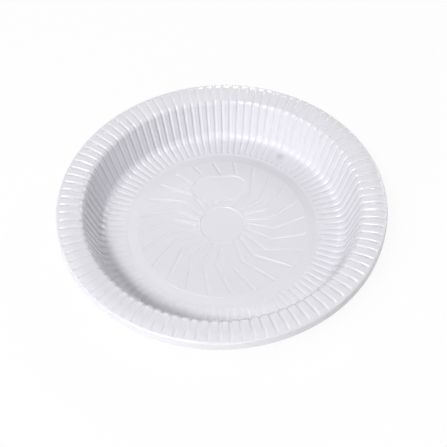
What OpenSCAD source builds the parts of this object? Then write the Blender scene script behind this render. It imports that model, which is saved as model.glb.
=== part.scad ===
// A disposable dinner plate, formed from one thin sheet of white plastic.
// The origin is the middle of the ring it stands on, at table height, with +Z up.
// All lengths are in millimetres and all angles in degrees.

/* [Plate] */
// Diameter over the turned-down lip
plate_d = 220; // [205:5:260]
// Height of the crown of the rim above the table
plate_h = 33; // [24:1:45]
// Thickness of the plastic sheet
sheet_t = 0.5; // [0.4:0.05:0.8]

/* [Lip] */
// Height of the smooth lip, from its crown down to the cut edge
lip_drop = 7; // [5:0.5:10]
// Radius of the bend over the crown
lip_bend_r = 1.4; // [1:0.1:2.5]
// How far the skirt below the bend leans out
lip_flare = 0.3; // [0.1:0.1:1.5]

/* [Flange] */
// Width of the ribbed flange, from the crown to the crease
flange_w = 15.9; // [12:0.1:19]
// How far the flange falls towards the crease
flange_fall = 3; // [1:0.1:4]

/* [Well] */
// How far the wall leans in between the crease and the floor
wall_lean = 7.6; // [4:0.2:10]
// Radius of the bend between the wall and the floor
bend_r = 7; // [4:0.5:9]
// Fall of the ribbed floor from the wall to the rib ends
floor_fall = 0.5; // [0.2:0.1:1]

/* [Foot] */
// Outer diameter of the ring that the plate stands on
foot_d = 133; // [118:1:134]
// Width of that ring
foot_w = 6.2; // [4:0.2:8]
// Height of the shoulder between the ring and the ribbed floor
foot_step = 0.8; // [0.7:0.05:1.5]
// Height of the raised base inside the ring
base_rise = 1; // [0.8:0.1:2]
// Width of the sloping step up to the raised base
step_w = 0.8; // [0.4:0.1:1.5]

/* [Ribs] */
// Number of grooves round the plate
rib_n = 100; // [60:2:110]
// Width of one groove
rib_w = 2.4; // [1.4:0.1:2.6]
// Depth of one groove
rib_depth = 0.6; // [0.3:0.05:0.65]
// Length over which a groove runs out at each end
rib_fade = 2.5; // [1.5:0.1:3]

/* [Swirl] */
// Number of sunk arms on the base
arm_n = 24; // [12:1:28]
// Width of one arm
arm_w = 2; // [1:0.1:2.4]
// Depth of one arm
arm_depth = 0.25; // [0.1:0.05:0.3]
// Radius at which the arms bend
arm_bend_at = 34.5; // [26:0.5:38]
// Angle that an arm turns back before its bend
arm_back = 8; // [0:0.5:15]
// Angle that an arm sweeps forward after its bend
arm_sweep = 13.5; // [0:0.5:25]
// Angle of the first arm's bend
arm_first = 4.9; // [0:0.1:15]
// Plain margin between the arms and the disc, the oval and the step
arm_gap = 1; // [0.6:0.1:2]

/* [Centre] */
// Diameter of the sunk disc in the middle
disc_d = 31; // [24:0.5:32]
// Length of the plain sunk oval beside the disc
oval_l = 40; // [26:1:44]
// Width of the oval
oval_w = 22; // [14:0.5:22]
// Distance of the oval from the middle of the plate
oval_y = 33.5; // [30:0.5:36]
// Depth of the disc and of the oval
sink = 0.4; // [0.2:0.05:0.45]

/* [Hidden] */
$fn = 36;

// Radii and heights on the upper face of the sheet
rim_r = plate_d / 2;
crown_r = rim_r - lip_flare - lip_bend_r;
crown_c = [crown_r, plate_h - lip_bend_r];
crease_r = crown_r - flange_w;
crease_z = plate_h - flange_fall;
corner_r = crease_r - wall_lean;
shoulder_r = foot_d / 2 + rib_fade;
shoulder_z = sheet_t + foot_step;
corner_z = shoulder_z + floor_fall;
step_r = foot_d / 2 - foot_w;
base_r = step_r - step_w;
base_top = base_rise + sheet_t;

// Slopes of the skirt, the wall and the floor
skirt_a = atan2(lip_flare, lip_drop - lip_bend_r);
wall_a = atan2(crease_z - corner_z, wall_lean);
floor_a = atan2(floor_fall, corner_r - shoulder_r);

// Centre of the bend that rounds the corner between wall and floor
bend_run = bend_r * tan((wall_a - floor_a) / 2);
bend_c = [
    corner_r - bend_run * cos(floor_a) - bend_r * sin(floor_a),
    corner_z - bend_run * sin(floor_a) + bend_r * cos(floor_a)
];

function on_arc(centre, r, a) = centre + r * [cos(a), sin(a)];

// The upper face of the sheet in section, from the cut edge in to the base.
// The points from rib_first to rib_last carry the grooves at full depth.
section = [
    [rim_r, plate_h - lip_drop],
    on_arc(crown_c, lip_bend_r, skirt_a),
    on_arc(crown_c, lip_bend_r, (skirt_a + 90) / 2),
    on_arc(crown_c, lip_bend_r, 90),
    [crown_r - rib_fade, plate_h - flange_fall * rib_fade / flange_w],
    [crease_r, crease_z],
    on_arc(bend_c, bend_r, wall_a - 90),
    on_arc(bend_c, bend_r, (wall_a + floor_a) / 2 - 90),
    on_arc(bend_c, bend_r, floor_a - 90),
    [shoulder_r, shoulder_z],
    [foot_d / 2, sheet_t],
    [step_r, sheet_t],
    [base_r, base_top]
];
rib_first = 4;
rib_last = 9;
last = len(section) - 1;

// Unit direction square to the stretch of a path from point i to the next
function square_to(path, i) =
    let (d = (path[i + 1] - path[i]) / norm(path[i + 1] - path[i]))
    [d[1], -d[0]];

// Direction in which point i moves when the path is set off to one side,
// longer at a corner, so that both stretches there move by the same amount
function set_off(path, i) =
    i == 0 ? square_to(path, 0) :
    i == len(path) - 1 ? square_to(path, i - 1) :
    let (a = square_to(path, i - 1), b = square_to(path, i))
    (a + b) / (1 + a * b);

function is_ribbed(i) = i >= rib_first && i <= rib_last;

// Ring i of points on the face that lies depth below the upper one. A ribbed
// ring has three points for each groove: one edge, the bottom and the other edge.
function ring(i, depth) =
    let (through = i == last ? [0, 1] : set_off(section, i))
    let (half = asin(rib_w / 2 / section[i][0]))
    [for (k = [0 : rib_n - 1], side = is_ribbed(i) ? [-1, 0, 1] : [0])
        let (groove = is_ribbed(i) && side == 0 ? rib_depth : 0)
        let (p = section[i] - through * (depth + groove))
        let (a = k * 360 / rib_n + side * half)
        [p[0] * cos(a), p[0] * sin(a), p[1]]
    ];

function ring_size(i) = is_ribbed(i) ? 3 * rib_n : rib_n;
function ring_start(i) = i == 0 ? 0 : ring_start(i - 1) + ring_size(i - 1);
face_size = ring_start(last + 1) + 1;

// Triangles between ring i and the next, smaller one. Where a ribbed ring
// meets a plain one, each groove closes on a point of the plain ring.
function band(i) =
    let (a = ring_start(i), b = ring_start(i + 1))
    let (a_n = ring_size(i), b_n = ring_size(i + 1))
    a_n == b_n ? [for (k = [0 : a_n - 1])
        let (next = (k + 1) % a_n)
        each [[a + k, b + k, b + next], [a + k, b + next, a + next]]
    ] :
    a_n < b_n ? [for (k = [0 : a_n - 1])
        let (next = (k + 1) % a_n, g = b + 3 * k)
        each [
            [a + k, g, g + 1],
            [a + k, g + 1, g + 2],
            [a + k, g + 2, a + next],
            [a + next, g + 2, b + 3 * next]
        ]
    ] :
    [for (k = [0 : b_n - 1])
        let (next = (k + 1) % b_n, g = a + 3 * k)
        each [
            [b + k, g + 1, g],
            [b + k, g + 2, g + 1],
            [b + k, b + next, g + 2],
            [b + next, a + 3 * next, g + 2]
        ]
    ];

// The whole sheet: lip, ribbed flange, wall and floor, foot ring and base
module formed_sheet() {
    inner_ring = ring_start(last);
    upper = [
        each [for (i = [0 : last - 1]) each band(i)],
        for (k = [0 : rib_n - 1])
            [inner_ring + k, face_size - 1, inner_ring + (k + 1) % rib_n]
    ];
    lower = [for (t = upper) [t[2], t[1], t[0]] + face_size * [1, 1, 1]];
    cut_edge = [for (k = [0 : rib_n - 1])
        let (next = (k + 1) % rib_n)
        each [[k, next, face_size + k], [next, face_size + next, face_size + k]]
    ];
    polyhedron(
        points = [
            each [for (i = [0 : last]) each ring(i, 0)],
            [0, 0, base_top],
            each [for (i = [0 : last]) each ring(i, sheet_t)],
            [0, 0, base_rise]
        ],
        faces = [each upper, each lower, each cut_edge]
    );
}

// Outline of one arm: straight from the disc to its bend, then to the step
module arm_outline() {
    start_r = disc_d / 2 + arm_gap;
    end_r = base_r - arm_gap;
    path = [
        start_r * [cos(arm_back), sin(arm_back)],
        arm_bend_at * [1, 0],
        end_r * [cos(arm_sweep), sin(arm_sweep)]
    ];
    half = arm_w / 2;
    polygon([
        for (i = [0 : 2]) path[i] + half * set_off(path, i),
        for (i = [2 : -1 : 0]) path[i] - half * set_off(path, i)
    ]);
}

// A plain oval, larger all round by grow
module oval(grow) {
    reach = (oval_l - oval_w) / 2;
    translate([0, oval_y]) {
        square([2 * reach, oval_w + 2 * grow], center = true);
        for (x = [-reach, reach])
            translate([x, 0]) circle(d = oval_w + 2 * grow);
    }
}

// All the arms, stopping short of the oval
module swirl() {
    difference() {
        for (i = [0 : arm_n - 1])
            rotate(arm_first + i * 360 / arm_n) arm_outline();
        oval(arm_gap);
    }
}

// The disc and the oval, larger all round by grow
module centre_shapes(grow) {
    circle(d = disc_d + 2 * grow);
    oval(grow);
}

// A form pressed down into the base goes through to the underside of the sheet
module plate() {
    color("whitesmoke") difference() {
        union() {
            formed_sheet();
            translate([0, 0, base_rise - arm_depth]) linear_extrude(sheet_t) swirl();
            translate([0, 0, base_rise - sink])
                linear_extrude(sheet_t) centre_shapes(sheet_t);
        }
        translate([0, 0, base_top - arm_depth]) linear_extrude(sheet_t) swirl();
        translate([0, 0, base_top - sink]) linear_extrude(sheet_t) centre_shapes(0);
    }
}

plate();
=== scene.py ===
import math

import bpy
import numpy as np
from mathutils import Matrix, Vector


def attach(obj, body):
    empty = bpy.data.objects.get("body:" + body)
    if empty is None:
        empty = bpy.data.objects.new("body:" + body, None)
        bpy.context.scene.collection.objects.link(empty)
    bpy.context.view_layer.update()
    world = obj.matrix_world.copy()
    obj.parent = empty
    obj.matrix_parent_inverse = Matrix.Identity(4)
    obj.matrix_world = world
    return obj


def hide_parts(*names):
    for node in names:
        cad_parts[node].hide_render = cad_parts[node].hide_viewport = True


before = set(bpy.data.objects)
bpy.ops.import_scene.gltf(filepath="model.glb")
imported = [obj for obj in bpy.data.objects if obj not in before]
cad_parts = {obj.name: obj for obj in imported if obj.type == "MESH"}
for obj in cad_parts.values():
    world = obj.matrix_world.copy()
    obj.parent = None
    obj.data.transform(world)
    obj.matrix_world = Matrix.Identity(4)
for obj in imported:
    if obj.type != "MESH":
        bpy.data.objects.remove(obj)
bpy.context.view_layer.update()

# The plate is one sheet of glossy white plastic, half a millimetre thick, drawn
# by vacuum into a mould while warm and then cut out along the edge of its lip.
# All that shows is this one sheet: a form on its face is on its back as well.
MM = 0.001
SHEET = 0.5
COLUMNS = 600

# Corners of the upper face in section: distance from the axis, and height. The
# flange is a little domed, and the ring it stands on has gentle sides.
LIP_EDGE, CROWN, FLANGE_TOP, CREASE = (110.0, 26.0), (109.66, 32.4), (104.5, 33.31), (92.4, 30.7)
CORNER, SHOULDER, FOOT_OUT, FOOT_IN = (84.8, 1.8), (70.5, 1.2), (66.2, 0.5), (65.0, 0.5)
STEP, BASE_EDGE, MIDDLE = (60.1, 0.95), (59.75, 1.1), (0.0, 1.1)


def rounded_section(corners, radii, steps, stops):
    """Straight runs joined by arcs, as points and as the unit normals of the upper face.

    Corner i is rounded by an arc of radii[i] that touches both runs at
    radius * tan(turn / 2) from the corner and has steps[i] equal parts. The run
    that leaves corner i also has a point at each distance from the axis in stops[i].
    """
    corners = np.array(corners)
    runs = np.diff(corners, axis=0)
    runs /= np.hypot(*runs.T)[:, None]
    across = np.stack([runs[:, 1], -runs[:, 0]], axis=1)
    points, normals = [corners[:1]], [across[:1]]
    for i, run in enumerate(runs):
        if i:
            before = runs[i - 1]
            turn = math.acos(before @ run)
            side = np.sign(before[0] * run[1] - before[1] * run[0])
            start = corners[i] - before * radii[i] * math.tan(turn / 2)
            t = np.linspace(0, turn, steps[i] + 1)[:, None]
            normal = np.cos(t) * across[i - 1] + side * np.sin(t) * before
            points.append(start + side * radii[i] * (normal - across[i - 1]))
            normals.append(normal)
        r = np.array(stops[i], float)[:, None]
        points.append(corners[i] + run * (r - corners[i, 0]) / run[0])
        normals.append(np.repeat(across[i:i + 1], len(r), axis=0))
    return np.concatenate(points), np.concatenate(normals)


# The last run is the base. Its rings lie close together at the ends of the arms
# and where the outlines of the oval and of the disc run along them.
section, normals = rounded_section(
    corners=[LIP_EDGE, CROWN, FLANGE_TOP, CREASE, CORNER, SHOULDER, FOOT_OUT, FOOT_IN, STEP,
             BASE_EDGE, MIDDLE],
    radii=[0, 1.4, 20.0, 5.0, 7.0, 8.0, 3.0, 3.0, 0.3, 0.3],
    steps=[0, 6, 10, 7, 8, 3, 2, 2, 2, 2],
    stops=[
        [109.9], [], [], [87.5], [77, 74], [68.4, 67.6, 67], [], [], [],
        [58.9, 58.55, 58.2, 57.8, 54, 50, *np.arange(46.2, 43.7, -0.4),
         *np.arange(42.2, 25.4, -1.5), *np.arange(25, 21.4, -0.4), 20, 18.5, 17.5, 17.1,
         16.8, 16.5, 16.05, 15.8, 15.65, 15.5, 15.35, 15.2, 14.95, 10]
    ])


def smooth(x, low, high):
    """0 below low, 1 above high, and 3t^2 - 2t^3 between them, as t goes from 0 to 1."""
    t = np.clip((np.asarray(x) - low) / (high - low), 0, 1)
    return t * t * (3 - 2 * t)


# The hundred grooves run from the crown of the rim down to the shoulder
RIBS, RIB_HALF = 100, 1.6
RIB_OUTER_END, RIB_INNER_END = 108.8, 67.6
FLOOR_RIB_DEPTH, WALL_RIB_DEPTH, FLANGE_RIB_DEPTH = 0.55, 0.85, 0.8
FLOOR_END, WALL_FOOT, WALL_HEAD, FLANGE_END = 78, 84, 90, 95


def rib_angles(r, column):
    """Six columns to a groove: five across it at -1, -1/2, 0, 1/2 and 1 half widths, a land."""
    rib, place = np.divmod(column, 6)
    off = np.array([-1, -0.5, 0, 0.5, 1, 0])[place] * RIB_HALF / r
    return (rib + np.where(place == 5, 0.5, 0)) * 2 * math.pi / RIBS + off


def groove_depth(r, angle):
    """Depth of the grooves: a cosine of the distance to a groove's middle line.

    The middle line stops half a width before each end, which rounds the end.
    The grooves are deepest on the wall.
    """
    pitch = 2 * math.pi / RIBS
    x = (np.mod(angle / pitch + 0.5, 1) - 0.5) * pitch * r
    past = np.maximum(r - (RIB_OUTER_END - RIB_HALF), RIB_INNER_END + RIB_HALF - r)
    away = np.minimum(np.hypot(x, np.maximum(past, 0)) / RIB_HALF, 1)
    deepest = np.interp(r, [FLOOR_END, WALL_FOOT, WALL_HEAD, FLANGE_END],
                        [FLOOR_RIB_DEPTH, WALL_RIB_DEPTH, WALL_RIB_DEPTH, FLANGE_RIB_DEPTH])
    return deepest * (1 + np.cos(math.pi * away)) / 2


# The swirl of sunk arms on the base
ARMS, ARM_HALF, ARM_FLOOR, ARM_DEPTH = 24, 1.25, 0.85, 0.35
ARM_START, ARM_BEND, ARM_END = 16.5, 34.5, 58.9
ARM_BACK, ARM_SWEEP, ARM_FIRST = math.radians(8), math.radians(13.5), math.radians(4.9)
ACROSS_ARM = np.array([-1, -0.85, -0.7, 0, 0.7, 0.85, 1])


def straight_line(r, a, b):
    """Angle, and cosine to the radius, at distance r on the line through polar points a and b.

    The line keeps the distance p = r * cos(angle - normal) from the axis.
    """
    (ra, ta), (rb, tb) = a, b
    run = np.array([rb * math.cos(tb) - ra * math.cos(ta), rb * math.sin(tb) - ra * math.sin(ta)])
    run /= np.hypot(*run)
    normal = np.array([run[1], -run[0]])
    p = normal @ [ra * math.cos(ta), ra * math.sin(ta)]
    normal, p = normal * np.sign(p), abs(p)
    facing = math.atan2(normal[1], normal[0])
    turn = np.arccos(np.clip(p / r, -1, 1))
    side = np.sign(math.remainder(ta - facing, 2 * math.pi))
    return facing + side * turn, np.sqrt(1 - np.minimum(p / r, 0.99) ** 2)


def arm_line(r):
    """Middle line of an arm: straight from the disc to the bend, then straight to the step."""
    bend = (ARM_BEND, 0.0)
    inner = straight_line(np.clip(r, ARM_START, ARM_BEND), (ARM_START, ARM_BACK), bend)
    outer = straight_line(np.maximum(r, ARM_BEND), bend, (ARM_END, ARM_SWEEP))
    beyond = r >= ARM_BEND
    return np.where(beyond, outer[0], inner[0]), np.where(beyond, outer[1], inner[1])


def arm_angles(r, column):
    """25 columns to an arm: seven across it, square to its line, and 18 spread over the land."""
    each, last = COLUMNS // ARMS, len(ACROSS_ARM) - 1
    arm, place = np.divmod(column, each)
    line, cosine = arm_line(r)
    pitch = 2 * math.pi / ARMS
    half = ARM_HALF / (np.maximum(r, ARM_START) * cosine)
    across = ACROSS_ARM[np.minimum(place, last)] * half
    spread = half + (pitch - 2 * half) * (place - last) / (each - last)
    return ARM_FIRST + arm * pitch + line + np.where(place <= last, across, spread)


def arm_depth(r, angle):
    """Depth of the arms: flat within ARM_FLOOR of the middle line, none past ARM_HALF."""
    pitch = 2 * math.pi / ARMS
    line, cosine = arm_line(r)
    x = (np.mod((angle - line - ARM_FIRST) / pitch + 0.5, 1) - 0.5) * pitch * r * cosine
    past = np.maximum(r - (ARM_END - ARM_HALF), ARM_START + ARM_HALF - r)
    away = np.hypot(x, np.maximum(past, 0))
    return ARM_DEPTH * (1 - smooth(away, ARM_FLOOR, ARM_HALF))


# The sunk disc in the middle, and the plain sunk oval beside it
DISC_R, OVAL_Y, OVAL_REACH, OVAL_R = 15.5, 33.5, 9.0, 11.0
SINK, DISC_SLOPE, OVAL_SLOPE = 0.55, 0.4, 0.5
CLEAR_OF_ARMS, ARMS_WHOLE = 0.8, 2.2


def formed_depth(r, angle):
    """How deep the face lies below the plain section, all the forms together.

    The disc and the oval have one even depth within their outline, whose wall is
    a smooth slope. The arms run out between two distances from the oval.
    """
    x, y = r * np.cos(angle), r * np.sin(angle)
    to_oval = np.hypot(np.maximum(np.abs(x) - OVAL_REACH, 0), y - OVAL_Y) - OVAL_R
    arm = arm_depth(r, angle) * smooth(to_oval, CLEAR_OF_ARMS, ARMS_WHOLE)
    disc = SINK * (1 - smooth(r, DISC_R - DISC_SLOPE, DISC_R + DISC_SLOPE))
    oval = SINK * (1 - smooth(to_oval, -OVAL_SLOPE, OVAL_SLOPE))
    return groove_depth(r, angle) + arm + disc + oval


def column_angles(r):
    """Arm columns inside the foot ring, rib columns outside it, and a smooth mix across it."""
    column = np.arange(COLUMNS)
    step = 2 * math.pi / COLUMNS
    apart = arm_angles(FOOT_IN[0], column) - rib_angles(FOOT_IN[0], column)
    column = column[None, :]
    ribs = rib_angles(r, column)
    arms = arm_angles(r, column - int(round(apart.mean() / step)))
    return arms + (ribs - arms) * smooth(r, FOOT_IN[0], FOOT_OUT[0])


def face_of_sheet(points, normals, through):
    """Rings of points, and the normals there: the section turned about the axis.

    Each point is sunk along the section's own normal n by the depth d of the form.
    The face's normal is n + d' along the section + d' round the axis, where d' is
    the slope of d over one step either way.
    """
    r, z = points[:, 0:1], points[:, 1:2]
    across, up = normals[:, 0:1], normals[:, 1:2]
    angle = column_angles(r)
    down = through + formed_depth(r, angle)
    step = 0.02
    along = (formed_depth(r - up * step, angle) - formed_depth(r + up * step, angle)) / step / 2
    turn = step / r
    around = (formed_depth(r, angle + turn) - formed_depth(r, angle - turn)) / step / 2
    lean, rise = across - up * along, up + across * along
    r = r - across * down
    z = z - up * down
    cos, sin = np.cos(angle), np.sin(angle)
    face = np.stack([lean * cos - around * sin, lean * sin + around * cos, rise], axis=-1)
    face /= np.linalg.norm(face, axis=-1)[..., None]
    return np.stack([r * cos, r * sin, z + 0 * cos], axis=-1), face


# The underside takes every second ring. The edge of the cut bulges a little
# between the two faces, and a fan of triangles closes each face at the axis.
under = np.arange(len(section)) % 2 == 0
under[-1] = True
upper, upper_normals = face_of_sheet(section, normals, 0)
lower, lower_normals = face_of_sheet(section[under], normals[under], SHEET)
CUT_BULGE = 0.12
cut = (upper[:1] + lower[:1]) / 2 - [0, 0, CUT_BULGE]
rings = np.concatenate([lower[::-1], cut, upper])
middle_top = MIDDLE[1] - SINK
points = np.concatenate([
    [[0, 0, middle_top - SHEET]], rings.reshape(-1, 3), [[0, 0, middle_top]]])
facing = np.concatenate([
    [[0, 0, -1]], -lower_normals[::-1].reshape(-1, 3), np.tile([0, 0, -1], (COLUMNS, 1)),
    upper_normals.reshape(-1, 3), [[0, 0, 1]]])

k = np.arange(COLUMNS)
after = (k + 1) % COLUMNS
start = 1 + np.arange(len(rings) - 1)[:, None] * COLUMNS
quads = np.stack([start + k, start + after, start + COLUMNS + after, start + COLUMNS + k],
                 axis=-1).reshape(-1, 4)
last = 1 + (len(rings) - 1) * COLUMNS
bottom_fan = np.stack([np.zeros_like(k), 1 + after, 1 + k], axis=-1)
top_fan = np.stack([np.full_like(k, len(points) - 1), last + k, last + after], axis=-1)

sheet = bpy.data.meshes.new("formed_sheet")
sheet.from_pydata((points * MM).tolist(), [],
                  quads.tolist() + bottom_fan.tolist() + top_fan.tolist())
sheet.shade_smooth()
sheet.normals_split_custom_set_from_vertices(facing.tolist())
plate = bpy.data.objects.new("formed_sheet", sheet)
bpy.context.scene.collection.objects.link(plate)


def put_node(tree, kind, inputs, **settings):
    """A shader node with its settings. Each input is given a socket to join or a value."""
    made = tree.nodes.new(kind)
    for name, value in settings.items():
        setattr(made, name, value)
    for name, value in inputs.items():
        if isinstance(value, bpy.types.NodeSocket):
            tree.links.new(value, made.inputs[name])
        else:
            made.inputs[name].default_value = value
    return made


# Glossy white plastic: a little cloudy, with the faint waves of a sheet that was
# stretched while warm, and one small grey smudge on the ribbed floor
white = bpy.data.materials.new("white_plastic")
white.use_nodes = True
tree = white.node_tree
plastic = tree.nodes["Principled BSDF"]
position = put_node(tree, "ShaderNodeTexCoord", {}).outputs["Object"]
cloud = put_node(tree, "ShaderNodeTexNoise", {"Vector": position, "Scale": 40, "Detail": 3})
tint = put_node(tree, "ShaderNodeMix", {
    0: cloud.outputs[0], 6: (0.79, 0.78, 0.825, 1), 7: (0.75, 0.742, 0.786, 1)},
    data_type="RGBA")
SMUDGE_AT, SMUDGE_R = (0.0472, 0.0609, 0.0015), 0.0042
apart = put_node(tree, "ShaderNodeVectorMath", {0: position, 1: SMUDGE_AT},
                 operation="DISTANCE")
near = put_node(tree, "ShaderNodeMapRange", {
    "Value": apart.outputs["Value"], "From Min": 0, "From Max": SMUDGE_R,
    "To Min": 0.9, "To Max": 0}, interpolation_type="SMOOTHSTEP")
grains = put_node(tree, "ShaderNodeTexNoise", {"Vector": position, "Scale": 500, "Detail": 2})
smudge = put_node(tree, "ShaderNodeMath", {0: near.outputs[0], 1: grains.outputs[0]},
                  operation="MULTIPLY")
colour = put_node(tree, "ShaderNodeMix", {
    0: smudge.outputs[0], 6: tint.outputs[2], 7: (0.36, 0.35, 0.37, 1)}, data_type="RGBA")
tree.links.new(colour.outputs[2], plastic.inputs["Base Color"])
rubbed = put_node(tree, "ShaderNodeTexNoise", {"Vector": position, "Scale": 65, "Detail": 2})
roughness = put_node(tree, "ShaderNodeMapRange", {
    "Value": rubbed.outputs[0], "To Min": 0.14, "To Max": 0.28})
tree.links.new(roughness.outputs[0], plastic.inputs["Roughness"])
waves = put_node(tree, "ShaderNodeTexNoise", {"Vector": position, "Scale": 150, "Detail": 1})
WAVE_HEIGHT = 0.00006
waviness = put_node(tree, "ShaderNodeBump", {
    "Height": waves.outputs[0], "Distance": WAVE_HEIGHT, "Strength": 1})
peel = put_node(tree, "ShaderNodeTexNoise", {"Vector": position, "Scale": 900, "Detail": 1})
PEEL_HEIGHT = 0.00001
surface = put_node(tree, "ShaderNodeBump", {
    "Height": peel.outputs[0], "Distance": PEEL_HEIGHT, "Strength": 1,
    "Normal": waviness.outputs[0]})
tree.links.new(surface.outputs[0], plastic.inputs["Normal"])
plastic.inputs["IOR"].default_value = 1.49
sheet.materials.append(white)

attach(plate, "root")
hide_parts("plate")

# The floor is a plain white table top that keeps the plate's soft shadow. The
# camera, gloss and glass see it mostly as plain white.
TABLE_HALF, TABLE_Z, PLAIN_SHARE = 3.0, -0.0001, 0.93
table = bpy.data.meshes.new("table_top")
table.from_pydata([(x * TABLE_HALF, y * TABLE_HALF, TABLE_Z)
                   for x, y in ((-1, -1), (1, -1), (1, 1), (-1, 1))], [], [(0, 1, 2, 3)])
floor = bpy.data.objects.new("table_top", table)
bpy.context.scene.collection.objects.link(floor)
pale = bpy.data.materials.new("white_table")
pale.use_nodes = True
tree = pale.node_tree
paint = tree.nodes["Principled BSDF"]
paint.inputs["Base Color"].default_value = (0.9, 0.9, 0.9, 1)
paint.inputs["Roughness"].default_value = 0.9


def seen_directly(tree, share):
    """share for the camera, in gloss and through glass, and 0 for light scattered onto a piece."""
    path = put_node(tree, "ShaderNodeLightPath", {})
    total = path.outputs["Is Camera Ray"]
    for kind in ("Is Glossy Ray", "Is Transmission Ray"):
        total = put_node(tree, "ShaderNodeMath", {0: total, 1: path.outputs[kind]},
                         operation="MAXIMUM").outputs[0]
    return put_node(tree, "ShaderNodeMath", {0: total, 1: share}, operation="MULTIPLY").outputs[0]


plain = put_node(tree, "ShaderNodeEmission", {"Color": (1, 1, 1, 1), "Strength": 1})
shown = put_node(tree, "ShaderNodeMixShader", {
    0: seen_directly(tree, PLAIN_SHARE), 1: paint.outputs[0], 2: plain.outputs[0]})
tree.links.new(shown.outputs[0], tree.nodes["Material Output"].inputs["Surface"])
table.materials.append(pale)

# The studio is white to look at, and all its light comes from round lamps: two
# high up at the front left, one of them small, and weaker ones low down all round.
world = bpy.data.worlds.new("studio")
bpy.context.scene.world = world
world.use_nodes = True
tree = world.node_tree
backdrop = tree.nodes["Background"]
backdrop.inputs["Color"].default_value = (1, 1, 1, 1)
tree.links.new(seen_directly(tree, 1), backdrop.inputs["Strength"])

LAMP_DISTANCE = 1.6
for name, azimuth, elevation, size, watts in (
        ("key", -122, 54, 0.3, 11.5), ("left", -146, 58, 1.0, 9.6),
        ("low_left", -135, 18, 0.7, 4.8), ("low_front", -90, 18, 0.7, 3.1),
        ("back_right", 38, 30, 0.8, 7.3), ("back", 85, 30, 0.3, 3.4)):
    light = bpy.data.lights.new(name, "AREA")
    light.shape = "DISK"
    light.size = size
    light.energy = watts
    lamp = bpy.data.objects.new(name, light)
    a, e = math.radians(azimuth), math.radians(elevation)
    direction = Vector((math.cos(e) * math.cos(a), math.cos(e) * math.sin(a), math.sin(e)))
    lamp.location = direction * LAMP_DISTANCE
    lamp.rotation_euler = direction.to_track_quat("Z", "Y").to_euler()
    bpy.context.scene.collection.objects.link(lamp)

# The camera looks down on the plate from close by, turned and rolled a little,
# so that its sides narrow away as they do in the photograph.
FRAME, FOCAL, SENSOR = 447, 697, 36
TILT, ROLL, AZIMUTH = math.radians(52.863), math.radians(1.897), math.radians(-1.8)
STAND = Vector((0.00091, 0.00115, 0.49064))
lens = bpy.data.cameras.new("camera")
lens.sensor_width = SENSOR
lens.lens = FOCAL / FRAME * SENSOR
camera = bpy.data.objects.new("camera", lens)
aim = Matrix.Rotation(AZIMUTH, 3, "Z") @ Matrix.Rotation(math.pi / 2 - TILT, 3, "X")
camera.matrix_world = Matrix.Translation(aim @ STAND) @ (
    aim @ Matrix.Rotation(-ROLL, 3, "Z")).to_4x4()
bpy.context.scene.collection.objects.link(camera)
bpy.context.scene.camera = camera
bpy.context.scene.view_settings.view_transform = "Standard"
